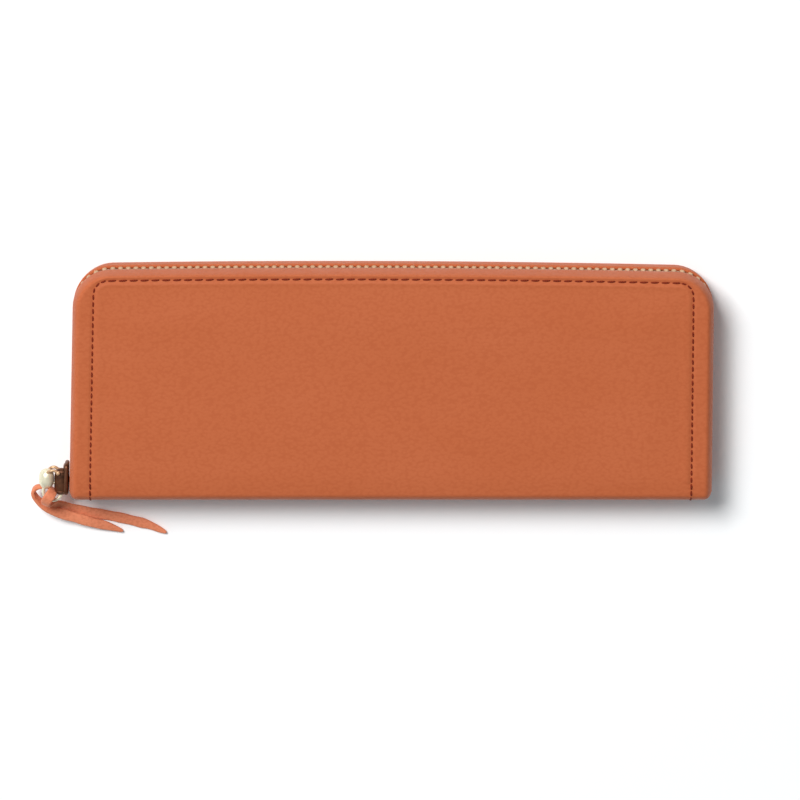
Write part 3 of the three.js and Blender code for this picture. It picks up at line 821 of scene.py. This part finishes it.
def zip_stops():
    for word, body, y, face in (("front", "front", ZIP_LEFT_FRONT, 1), ("back", "root", ZIP_LOW, -1)):
        pile = Pile()
        xs = (0.85 - HALF_X, 3.0 - HALF_X)
        soft_block(pile, xs, (y, y + TOP_STOP_LONG), (face * 0.6, face * 2.9), 0.35)
        name = "zip_top_stop_" + word
        add_piece(name + "_clamp", pile, BRASS, "zip_metal", body, name)
    pile = Pile()
    high = ZIP_RIGHT - END_CLEAR
    for face in (-1, 1):
        xs = (HALF_X - 3.5, HALF_X - 0.9)
        soft_block(pile, xs, (high - BOTTOM_STOP_LONG, high), (face * 0.15, face * 2.8), 0.4)
    waist = (high - BOTTOM_STOP_LONG + 0.5, high - 0.5)
    soft_block(pile, (HALF_X - 3.0, HALF_X - 1.3), waist, (-0.6, 0.6), 0.2)
    add_piece("zip_bottom_stop_clamp", pile, BRASS, "zip_metal", "root", "zip_bottom_stop")


def unsettled(joint):
    """A joint's place in straight millimetres, before settle() leans it."""
    place = np.array(JOINTS[joint]["pos_m"]) / MM
    return 2 * place - settle([place])[0] / MM


PIVOT = unsettled("puller_swing")
RING_AT = unsettled("thong_swing")
OUTER_PLATE = (-105.8, -104.4)
INNER_PLATE = (-100.2, -98.8)
PLATE_HALF = 4.2
PLATE_TAPER = 0.5
PLATE_TOP = -26.4
OUTER_PLATE_LOW = -36.9
INNER_PLATE_LOW = -33.4
BARREL_X = -106.75
BARREL_HALF_X = 2.3
BARREL_HALF_Z = 1.85
BARREL_LOW = -37.5
BARREL_HIGH = -28.5
BEAD_X = -111.6
BEAD_HALF = 2.4
BEAD_ENDS = (-35.4, -28.7)
RING_RADIUS = 3.0
RING_WIRE = 0.55


def wing(pile, xs, low):
    """A slider plate seen from the end: shoulders at the bottom, a narrower tail, all edges rounded."""
    half = (PLATE_TOP - low) / 2
    rings = []
    for share, tuck in ((0.0, 0.45), (0.12, 0.15), (0.35, 0.0), (0.65, 0.0), (0.88, 0.15), (1.0, 0.45)):
        x = xs[0] + (xs[1] - xs[0]) * share
        ring = []
        for a, b in rounded_rect(half - tuck, PLATE_HALF - tuck, 1.5, 6):
            narrow = 1 - PLATE_TAPER / PLATE_HALF * smooth((a + 2) / 6)
            ring.append((x, low + half + a, MID + b * narrow))
        rings.append(ring)
    pile.rings(rings)


def barrel(pile, y0, y1, x, half_x, half_z, power, dome):
    """A plump barrel along Y with domed ends, its section rounder as the power nears 2."""
    rings = []
    for k in range(23):
        t = -math.cos(math.pi * k / 22)
        full = max(1 - abs(t) ** dome, 0.0) ** 0.5 + 0.02
        y = (y0 + y1) / 2 + (y1 - y0) / 2 * t
        ring = []
        for angle in turns(32):
            c, v = math.cos(angle), math.sin(angle)
            a = math.copysign(abs(c) ** (2 / power), c) * half_x * full
            b = math.copysign(abs(v) ** (2 / power), v) * half_z * full
            ring.append((x + a, y, MID + b))
        rings.append(ring)
    pile.rings(rings)


def slider():
    """The antique slider: two plates round the zip, a neck between them and a barrel bridge."""
    pile = Pile()
    wing(pile, OUTER_PLATE, OUTER_PLATE_LOW)
    wing(pile, INNER_PLATE, INNER_PLATE_LOW)
    soft_block(pile, (-105.0, -99.6), (-33.2, -31.4), (-0.5, 0.5), 0.2)
    for face in (-1, 1):
        soft_block(pile, (-100.7, -99.6), (-32.8, -27.0), (face * 3.4, face * 4.15), 0.3)
    barrel(pile, BARREL_LOW, BARREL_HIGH, BARREL_X, BARREL_HALF_X, BARREL_HALF_Z, 2.4, 4.5)
    soft_block(pile, (-106.2, -104.6), (-30.5, -27.0), (-1.5, 1.5), 0.6)
    for y in (BARREL_LOW + 1.3, BARREL_HIGH - 1.3):
        wire_loop(pile, (BARREL_X, y, MID), (BARREL_HALF_X - 0.25, 0, BARREL_HALF_Z - 0.2), 0.24, 36, 8)
    add_piece("slider_casting", pile, BRONZE, "slider_metal", "slider", "slider_body")


def wire_loop(pile, centre, reach, wire, steps, sides):
    """A round wire bent into an ellipse, in an XZ plane or, if it has no reach in Z, an XY plane."""
    upright = reach[2] > 0
    axle = np.array([0, 1.0, 0]) if upright else np.array([0, 0, 1.0])
    rings = []
    for angle in turns(steps):
        c, v = math.cos(angle), math.sin(angle)
        out = np.array([c, 0, v]) if upright else np.array([c, v, 0])
        at = np.array(centre) + np.array(reach) * out
        rings.append([at + wire * (math.cos(t) * out + math.sin(t) * axle) for t in turns(sides)])
    pile.rings(rings + rings[:1], caps=False)


def frames_along(points, widths):
    """Even directions of width and thickness along a route."""
    tangent = np.gradient(points, axis=0)
    tangent /= np.linalg.norm(tangent, axis=1)[:, None]
    across = widths - (widths * tangent).sum(1)[:, None] * tangent
    across /= np.linalg.norm(across, axis=1)[:, None]
    return across, np.cross(tangent, across)


def catmull(points, number):
    """A smooth curve through given points."""
    last = len(points) - 1
    curve = []
    for k in range(number + 1):
        at = k / number * last
        i = min(int(at), last - 1)
        u = at - i
        p0, p1 = points[max(i - 1, 0)], points[i]
        p2, p3 = points[i + 1], points[min(i + 2, last)]
        square = 2 * p0 - 5 * p1 + 4 * p2 - p3
        cube = 3 * p1 - p0 - 3 * p2 + p3
        curve.append(0.5 * (2 * p1 + (p2 - p0) * u + square * u**2 + cube * u**3))
    return np.array(curve)


def wire_along(pile, points, radius):
    route = catmull(np.array(points, float), 24)
    frames = zip(route, *frames_along(route, np.tile((0.02, 0.03, 1.0), (len(route), 1))))
    circle = [(math.cos(t), math.sin(t)) for t in turns(10)]
    pile.rings([[at + radius * (a * c + b * v) for c, v in circle] for at, a, b in frames])


def pin(pile, place, discs):
    """A pin along Z, from pairs of height from the middle plane and radius."""
    x, y, _ = place
    pile.rings([[(x + r * math.cos(t), y + r * math.sin(t), MID + z) for t in turns(16)] for z, r in discs])


def pull():
    """The cast pull: a bead, a wire fork to the pivot pin and the ring that carries the thong."""
    pile = Pile()
    barrel(pile, *BEAD_ENDS, BEAD_X, BEAD_HALF, BEAD_HALF, 2.1, 2.9)
    wire_loop(pile, (BEAD_X, BEAD_ENDS[1] - 0.8, MID), (1.55, 0, 1.55), 0.3, 36, 8)
    wire_loop(pile, RING_AT, (RING_RADIUS, RING_RADIUS, 0), RING_WIRE, 48, 16)
    add_piece("pull_casting", pile, GOLD, "pull_metal", "pull", "puller")
    pile = Pile()
    for face in (-1, 1):
        z = MID + face * 2.45
        arm = [(-111.3, -29.7, MID + face * 1.6), (-110.3, -29.0, z), (-109.2, -28.8, z), (-108.4, -29.2, z)]
        wire_along(pile, [*arm, (PIVOT[0], PIVOT[1], z)], 0.5)
    discs = [(-3.0, 0.25), (-2.92, 0.55), (-2.7, 0.7), (-2.1, 0.7), (-1.9, 0.5)]
    discs += [(-side, radius) for side, radius in discs[::-1]]
    pin(pile, PIVOT, discs)
    add_piece("pull_fork", pile, BRASS, "pull_metal", "pull")


# The lace over the ring: points of its middle line, then the direction of its width.
THONG = [
    (-72.8, -52.9, 0.8, 0.4, 0.9, 0),
    (-78.3, -50.4, 0.7, 0.35, 0.93, 0),
    (-83.3, -49.0, 0.65, 0.25, 0.95, 0),
    (-89.2, -47.6, 0.65, 0.25, 0.95, 0),
    (-97.8, -46.0, 0.7, 0.2, 0.95, 0.1),
    (-102.8, -44.7, 1.4, 0.25, 0.85, 0.35),
    (-107.0, -42.9, 3.4, 0.3, 0.7, 0.6),
    (-110.0, -41.5, 7.0, 0.6, 0.45, 0.45),
    (-111.6, -40.9, 10.8, 0.8, -0.3, 0.2),
    (-111.5, -39.2, 13.4, 0.8, -0.6, 0),
    (-110.4, -37.5, 14.1, 0.8, -0.6, 0),
    (-109.6, -36.2, 12.4, 0.8, -0.6, 0),
    (-109.8, -36.1, 9.4, 0.8, -0.6, 0),
    (-111.3, -35.9, 7.6, 0.5, -0.3, -0.8),
    (-114.3, -35.9, 7.1, 0.1, 0.1, -1),
    (-116.0, -37.2, 6.8, 0.1, 0.3, -1),
    (-115.5, -39.4, 6.3, 0.1, 0.4, -0.9),
    (-112.9, -42.3, 5.4, 0.3, 0.6, -0.75),
    (-108.6, -45.0, 4.4, 0.35, 0.85, -0.35),
    (-102.8, -47.1, 3.3, 0.3, 0.95, -0.1),
    (-96.7, -49.1, 2.3, 0.3, 0.95, 0),
    (-91.6, -50.6, 1.5, 0.35, 0.93, 0),
    (-87.0, -52.3, 0.9, 0.4, 0.9, 0),
]
THONG_WIDTH = 3.3
THONG_THICK = 1.1


def thong():
    """One lace with rounded edges, folded over the ring, both tails cut to a point."""
    rows = np.array(THONG, float)
    steps = 300
    route = catmull(rows[:, :3], steps)
    across, normal = frames_along(route, catmull(rows[:, 3:], steps))
    run = np.concatenate([[0], np.cumsum(np.linalg.norm(np.diff(route, axis=0), axis=1))])
    pile = Pile()
    rings = []
    for k in range(steps + 1):
        from_end = min(run[k], run[-1] - run[k])
        taper = 0.12 + 0.88 * math.sqrt(min(from_end / 9.0, 1.0))
        half = THONG_WIDTH / 2 * taper * (1 + 0.04 * math.sin(run[k] * 0.9))
        thick = THONG_THICK / 2 * (0.75 + 0.25 * min(from_end / 5.0, 1.0))
        ring = []
        for a, b in rounded_rect(half, thick, min(half, thick) * 0.85, 4):
            crown = 0.10 * (1 - (a / half) ** 2) * (1 if b > 0 else -1)
            ring.append(route[k] + across[k] * a + normal[k] * (b + crown))
        rings.append(ring)
    pile.rings(rings)
    # The lace wears the lighter, painted-light copy of the cover leather.
    add_piece("pull_lace", pile, LIT_THONG_LEATHER, "thong_leather", "thong", "pull_thong")


# --- Inside: boards, lining, card tiers --------------------------------------

LINING_DEPTH = 2.5
LINING_THICK = 0.28
TAPE_END = 5.4
LINING_TUCK = 2.75
LINING_ROLL = 2.0
INSIDE_X = 97.0
INSIDE_LOW = -31.5
FINE_PITCH = 2.6
FINE_FILL = 0.7
FINE_SIZE = 0.62
TIER_DEPTH = 2.95
TIER_STEP = 0.5
TIER_TOPS = (25.0, 15.0, 5.0)
WALL_HALF = 2.6
COIN_X = 96.0
COIN_LOW = -33.0
COIN_TOP = 20.0
COIN_ROW = 2.4
COIN_TOOTH_PITCH = 2.0
COIN_PIN = 0.38
GUSSET_TOP = 18.0
GUSSET_SPREAD = 7.0


def boards():
    for name in ("front_board", "back_board"):
        node = frame["nodes"][name]
        for slot in node.material_slots:
            slot.material = BOARD


def face_z(face, depth):
    """The height of a surface that lies a depth inside one cover's outer face."""
    return THICK - depth if face > 0 else depth


def lining_half(pile, face):
    """From the zip tape down the wall, round the corner and in over the board."""
    rings = []
    for k in range(9):
        angle = k / 8 * math.pi / 2
        depth = 1 - math.cos(angle)
        wall = LINING_TUCK + LINING_ROLL * depth
        ring = outline(wall, wall, 1.5 + 1.4 * depth)
        edge = TAPE_END * smooth((ring[:, 1] + HALF_Y - 2.2) / 5.0)
        z = MID + edge + (MID - LINING_DEPTH - edge) * math.sin(angle)
        rings.append(np.column_stack([ring, z]))
    for step in (1.5, 4, 8):
        wall = LINING_TUCK + LINING_ROLL + step
        ring = outline(wall, wall, 2.9 + step)
        rings.append(np.column_stack([ring, np.full(len(ring), THICK - LINING_DEPTH)]))
    add_half(pile, rings, coons(rings[-1]), face)


def inner_lining():
    """One lining for both covers and the spine."""
    pile = Pile()
    lining_half(pile, 1)
    lining_half(pile, -1)
    sheet = add_mesh("inner_lining", pile, LINING)
    thicken(sheet, LINING_THICK)
    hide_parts("front_lining", "back_lining")
    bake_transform(sheet)


def panel(half_x, low, top, z, inward, thick, cards, corner):
    """A leather panel with a turned top edge. Cards under it lift it in two columns."""
    turned = ((1.75, 0.75), (1.5, 1.0), (1.2, 1.35), (0.6, 1.45), (0.2, 1.2), (0.0, 0.7), (0.15, 0.1))
    rings = []
    for x in np.concatenate([[-half_x], np.linspace(-half_x + 0.4, half_x - 0.4, 76), [half_x]]):
        drop = corner - math.sqrt(max(corner**2 - max(abs(x) - half_x + corner, 0) ** 2, 0))
        high = top - drop
        body = high - 1.9
        column = smooth((abs(x) - 2.5) / 4) * smooth((half_x - 4 - abs(x)) / 4)
        ring = []
        for y in np.linspace(low, body, 12):
            lift = cards * column * smooth((y - low - 2) / 4)
            ring.append((x, y, z + inward * (thick + lift)))
        for dy, rise in turned:
            lift = cards * column * 0.8 if rise > 0.5 else 0
            ring.append((x, high - dy, z + inward * (thick * rise + lift)))
        for share in (0.75, 0.5, 0.25, 0.0):
            ring.append((x, low + (body - low) * share, z))
        rings.append(ring)
    pile = Pile()
    pile.rings(rings)
    return pile


def fine_seam(pile, a, b, z, face, rng):
    """A straight line of small stitches from a to b, on a surface that faces up or down."""
    a, b, normal = np.array([*a, z]), np.array([*b, z]), np.array([0.0, 0.0, face])
    number = int(np.linalg.norm(b - a) * 2)
    route = [(a + (b - a) * k / number, normal) for k in range(number + 1)]
    stitch_route(pile, route, FINE_PITCH, FINE_FILL, rng, FINE_SIZE)


def card_tiers():
    rng = random.Random(11)
    for face, body, word in ((1, "front", "front"), (-1, "root", "back")):
        seams = Pile()
        last = INSIDE_LOW + 1.2
        for k in (2, 1, 0):
            top = TIER_TOPS[k]
            depth = TIER_DEPTH + k * TIER_STEP
            tier = panel(INSIDE_X - 0.3 * k, INSIDE_LOW, top, face_z(face, depth), -face, 0.3, 0.12, 2.0)
            node = f"{word}_card_tier_{k + 1}"
            add_piece(f"{word}_card_pocket_{k + 1}", tier, CARD_LEATHER, "card_leather", body, node)
            on = face_z(face, depth + 0.36)
            fine_seam(seams, (3 - INSIDE_X, top - 2.3), (INSIDE_X - 3, top - 2.3), on, -face, rng)
            fine_seam(seams, (0, last), (0, top - 2.6), on, -face, rng)
            last = top + 0.6
        add_piece(f"{word}_card_stitches", seams, THREAD, "seam_thread", body)


# --- Coin pocket and gussets -------------------------------------------------


def coin_pocket():
    rng = random.Random(13)
    for face, word in ((1, "front"), (-1, "back")):
        wall = panel(COIN_X, COIN_LOW, COIN_TOP, MID + face * (WALL_HALF - 0.4), face, 0.36, 0.0, 1.0)
        name = "coin_pocket_wall_" + word
        add_piece(name, wall, CARD_LEATHER, "card_leather", "coin_pocket", "coin_wall_" + word)
        seams = Pile()
        reach = COIN_X - 1.6
        for a, b in (
            ((-reach, COIN_TOP - 2.6), (-reach, COIN_LOW + 1.6)),
            ((-reach + 1, COIN_LOW + 1.4), (reach - 1, COIN_LOW + 1.4)),
            ((reach, COIN_LOW + 1.6), (reach, COIN_TOP - 2.6)),
            ((reach - 1, COIN_TOP - 2.2), (-reach + 1, COIN_TOP - 2.2)),
        ):
            fine_seam(seams, a, b, MID + face * (WALL_HALF - 0.02), face, rng)
        add_piece("coin_stitches_" + word, seams, THREAD, "seam_thread", "coin_pocket")


def coin_fold():
    """The folded strip between the two walls of the coin pocket, down, along and up."""
    reach, low, corner = COIN_X - 0.6, COIN_LOW + 0.6, 3.0

    def bend(x, start):
        outs = [(math.cos(a), math.sin(a)) for a in np.radians(np.linspace(start, start + 90, 8))]
        return [((x + corner * c, low + corner + corner * v), (-c, -v)) for c, v in outs]

    heights = np.linspace(COIN_TOP - 1, low + corner, 14)[:-1]
    path = [((-reach, y), (1.0, 0.0)) for y in heights]
    path += bend(corner - reach, 180)
    path += [((x, low), (0.0, 1.0)) for x in np.linspace(corner - reach, reach - corner, 30)[1:-1]]
    path += bend(reach - corner, 270)
    path += [((reach, y), (-1.0, 0.0)) for y in heights[::-1]]
    pile = Pile()
    rings = []
    for place, inward in path:
        ring = []
        for skin, order in ((0.0, 1), (0.25, -1)):
            for t in np.linspace(-1, 1, 9)[::order]:
                fold = 1.1 * math.cos(t * math.pi / 2) + skin
                ring.append((place[0] + inward[0] * fold, place[1] + inward[1] * fold, MID + t * 2.1))
        rings.append(ring)
    pile.rings(rings)
    add_piece("coin_pocket_fold", pile, LINING, "lining", "coin_pocket", "coin_gusset")


def coin_zip():
    """Each row is a tape with a bead along its edge, and teeth over the bead."""
    half = [(20.35, 0.13), (22.0, 0.13), (24.5, 0.13), (25.5, 0.14), (25.8, 0.38), (26.15, 0.5), (26.5, 0.38)]
    section = [(y, -z) for y, z in half] + [(26.62, 0.0)] + half[::-1]
    for face, word in ((1, "front"), (-1, "back")):
        middle = face * COIN_ROW
        rings = []
        for x in np.linspace(-COIN_X, COIN_X, 90):
            wave = 0.06 * math.sin(x * 0.35)
            rings.append([(x, y, MID + middle + z + wave) for y, z in section])
        pile = Pile()
        pile.rings(rings)
        add_piece("coin_zip_tape_" + word, pile, LIGHTENED_TAPE, "zip_tape", "coin_pocket", "coin_tape_" + word)
        pile = Pile()
        for x in np.arange(2.5 - COIN_X, COIN_X - 3, COIN_TOOTH_PITCH):
            soft_block(pile, (x, x + 1.1), (26.0, 28.5), (middle - 0.52, middle + 0.52), 0.25, 1)
        add_piece("coin_zip_teeth_" + word, pile, BRASS, "zip_metal", "coin_pocket", "coin_teeth_" + word)


COIN_PIVOT = unsettled("coin_pull_swing")


def coin_slider():
    """The coin zip's slider: a bridge plate over both rows, cheeks outside them and a post between."""
    pile = Pile()
    soft_block(pile, (-93.0, -84.0), (29.0, 30.2), (-3.5, 3.5), 0.5)
    soft_block(pile, (-92.0, -85.0), (30.0, 30.55), (-2.2, 2.2), 0.25)
    soft_block(pile, (-87.0, -84.3), (26.2, 29.4), (-1.6, 1.6), 0.4)
    for face in (-1, 1):
        soft_block(pile, (-92.6, -84.4), (26.0, 29.4), (face * 3.1, face * 3.5), 0.18)
    soft_block(pile, (-86.2, -81.9), (29.8, 32.2), (-0.6, 0.6), 0.5)
    add_piece("coin_slider_casting", pile, BRASS, "zip_metal", "coin_zip_slider", "coin_slider")
    pile = Pile()
    pin(pile, COIN_PIVOT, [(z, COIN_PIN) for z in (-1.5, 0, 1.5)])
    px, py, _ = COIN_PIVOT
    for face in (-1, 1):
        soft_block(pile, (px - 0.8, px + 2.6), (py - 0.75, py + 0.75), (face * 0.95, face * 1.55), 0.25)
    rings = []
    for x, half in ((1.7, 1.2), (2.1, 1.5), (3.5, 1.55), (7, 1.75), (10, 2.0), (11.4, 1.7), (12, 0.9)):
        section = rounded_rect(0.55, half, 0.5, 3)
        rings.append([(px + x, py + a, MID + b) for a, b in section])
    pile.rings(rings)
    add_piece("coin_pull_tab", pile, BRASS, "pull_metal", "coin_zip_pull", "coin_pull")


def gussets():
    """Folded side walls of the two bill compartments. The fold deepens towards the mouth."""
    near = WALL_HALF - 0.12
    far = MID - TIER_DEPTH - 2 * TIER_STEP - 0.45
    for side, side_word in ((-1, "left"), (1, "right")):
        for face, word in ((-1, "back"), (1, "front")):
            pile = Pile()
            rings = []
            for y in np.linspace(INSIDE_LOW + 0.5, GUSSET_TOP, 26):
                share = (y - INSIDE_LOW) / (GUSSET_TOP - INSIDE_LOW)
                deep = 1.5 + 9.5 * share
                ring = []
                for skin, order in ((0.0, 1), (0.26, -1)):
                    for t in np.linspace(-1, 1, 15)[::order]:
                        fold = deep * (1 - abs(t) ** 1.25) + skin
                        z = (near + far) / 2 + t * (far - near) / 2
                        ring.append((side * (INSIDE_X - 1.5 - fold), y, MID + face * z))
                rings.append(ring)
            pile.rings(rings)
            name = f"gusset_{side_word}_{word}"
            sheet = add_mesh(name + "_fold", pile, LINING)
            spread_rest(sheet, (MID + face * (near + far) / 2) * MM, GUSSET_SPREAD)
            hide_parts(name)
            if face < 0:
                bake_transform(sheet)
            else:
                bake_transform(sheet)


stage()
outer_leather()
seam_stitches()
zip_pair()
zip_stops()
slider()
pull()
thong()
boards()
inner_lining()
card_tiers()
coin_pocket()
coin_fold()
coin_zip()
coin_slider()
gussets()
